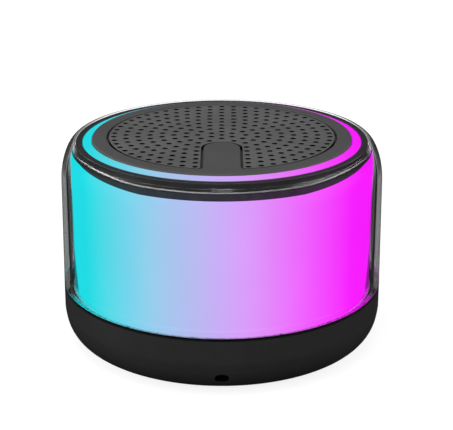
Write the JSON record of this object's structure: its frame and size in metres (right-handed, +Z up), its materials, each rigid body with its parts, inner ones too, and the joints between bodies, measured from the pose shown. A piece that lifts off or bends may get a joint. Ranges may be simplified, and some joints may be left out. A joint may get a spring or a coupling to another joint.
{
  "type": "portable speaker",
  "caption": "Round portable speaker: black base, clear cover over a glowing tube, perforated top grille with a tongue, sprung keys and ports at the back.",
  "frame": {"origin": "centre of the footprint, on the surface the foot stands on", "axes": "+Z up; front (tongue of the top frame, microphone opening) towards -Y; keys and ports towards +Y"},
  "size_m": [0.085, 0.085, 0.0555],
  "materials": {
    "foot_rubber": "matte, fine tread",
    "base_plastic": "satin black, fine grain",
    "clear_plastic": "clear, polished",
    "milky_plastic": "milky, lit from inside",
    "trim_plastic": "gloss black",
    "frame_plastic": "satin dark grey",
    "grille_plastic": "satin grey, fine grain",
    "black_cloth": "fine open weave",
    "white_plastic": "satin white",
    "black_seal": "matte",
    "zinc_steel": "zinc plated",
    "button_rubber": "satin black",
    "white_flex": "solder mask, white",
    "led_package": "moulded resin",
    "black_foam": "foam",
    "black_steel": "black coated steel",
    "surround_rubber": "satin",
    "cone_paper": "pressed pulp",
    "kapton": "polyimide film",
    "copper_wire": "enamelled copper",
    "spider_cloth": "resin dipped cotton",
    "ferrite": "sintered ferrite",
    "terminal_board": "phenolic with tinned lugs",
    "board_green": "solder mask over copper tracks",
    "chip_epoxy": "moulded epoxy, tinned legs",
    "capacitor_sleeve": "aluminium cans and ceramic chips",
    "inductor_ferrite": "ferrite",
    "tin_can": "tinned",
    "socket_plastic": "nylon",
    "port_plastic": "nylon with gold contacts",
    "cell_foil": "laminate foil",
    "red_wire": "silicone insulation",
    "mic_can": "plated can"
  },
  "bodies": {
    "speaker": {"amplifier_chip": "chip_epoxy", "base_screws": "zinc_steel", "base_shell": "base_plastic", "battery": "cell_foil", "battery_leads": "red_wire", "battery_pad": "black_foam", "bluetooth_chip": "chip_epoxy", "board_capacitors": "capacitor_sleeve", "board_crystal": "tin_can", "board_inductors": "inductor_ferrite", "board_screws": "zinc_steel", "button_switches": "socket_plastic", "card_socket": "tin_can", "charger_chip": "chip_epoxy", "chassis_plate": "white_plastic", "chassis_screws": "zinc_steel", "clear_cover": "clear_plastic", "cover_gasket": "black_seal", "driver_basket": "black_steel", "driver_gasket": "black_foam", "driver_leads": "red_wire", "driver_magnet": "ferrite", "driver_screws": "zinc_steel", "driver_spider": "spider_cloth", "driver_surround": "surround_rubber", "driver_terminals": "terminal_board", "dust_cloth": "black_cloth", "foot_pad": "foot_rubber", "grille": "grille_plastic", "led_strip": "white_flex", "light_diffuser": "milky_plastic", "magnet_top_plate": "zinc_steel", "magnet_yoke": "zinc_steel", "main_board": "board_green", "microphone": "mic_can", "microphone_boot": "black_seal", "speaker_housing": "white_plastic", "strip_leds": "led_package", "strip_wires": "red_wire", "top_frame": "frame_plastic", "trim_ring": "trim_plastic", "usb_c_core": "port_plastic", "usb_c_shell": "tin_can", "wire_sockets": "socket_plastic"},
    "cone": {"driver_cone": "cone_paper", "dust_cap": "cone_paper", "coil_former": "kapton", "voice_coil": "copper_wire"},
    "power_key": {"power_button": "button_rubber", "power_switch_stem": "port_plastic"},
    "light_key": {"light_button": "button_rubber", "light_switch_stem": "port_plastic"},
    "minus_key": {"minus_button": "button_rubber", "minus_switch_stem": "port_plastic"},
    "plus_key": {"plus_button": "button_rubber", "plus_switch_stem": "port_plastic"}
  },
  "joints": [
    {"name": "cone_travel", "type": "slide", "parent": "speaker", "child": "cone", "axis": [0, 0, 1], "range_m": [-0.001, 0.001], "stiffness_N_per_m": 1200, "deforming": ["driver_surround", "driver_spider"]},
    {"name": "power_press", "type": "slide", "parent": "speaker", "child": "power_key", "axis": [0.6293, -0.7771, 0], "range_m": [0, 0.0003], "stiffness_N_per_m": 2500},
    {"name": "light_press", "type": "slide", "parent": "speaker", "child": "light_key", "axis": [0.4462, -0.8949, 0], "range_m": [0, 0.0003], "stiffness_N_per_m": 2500},
    {"name": "minus_press", "type": "slide", "parent": "speaker", "child": "minus_key", "axis": [-0.4695, -0.8829, 0], "range_m": [0, 0.0003], "stiffness_N_per_m": 2500},
    {"name": "plus_press", "type": "slide", "parent": "speaker", "child": "plus_key", "axis": [-0.6494, -0.7604, 0], "range_m": [0, 0.0003], "stiffness_N_per_m": 2500}
  ]
}
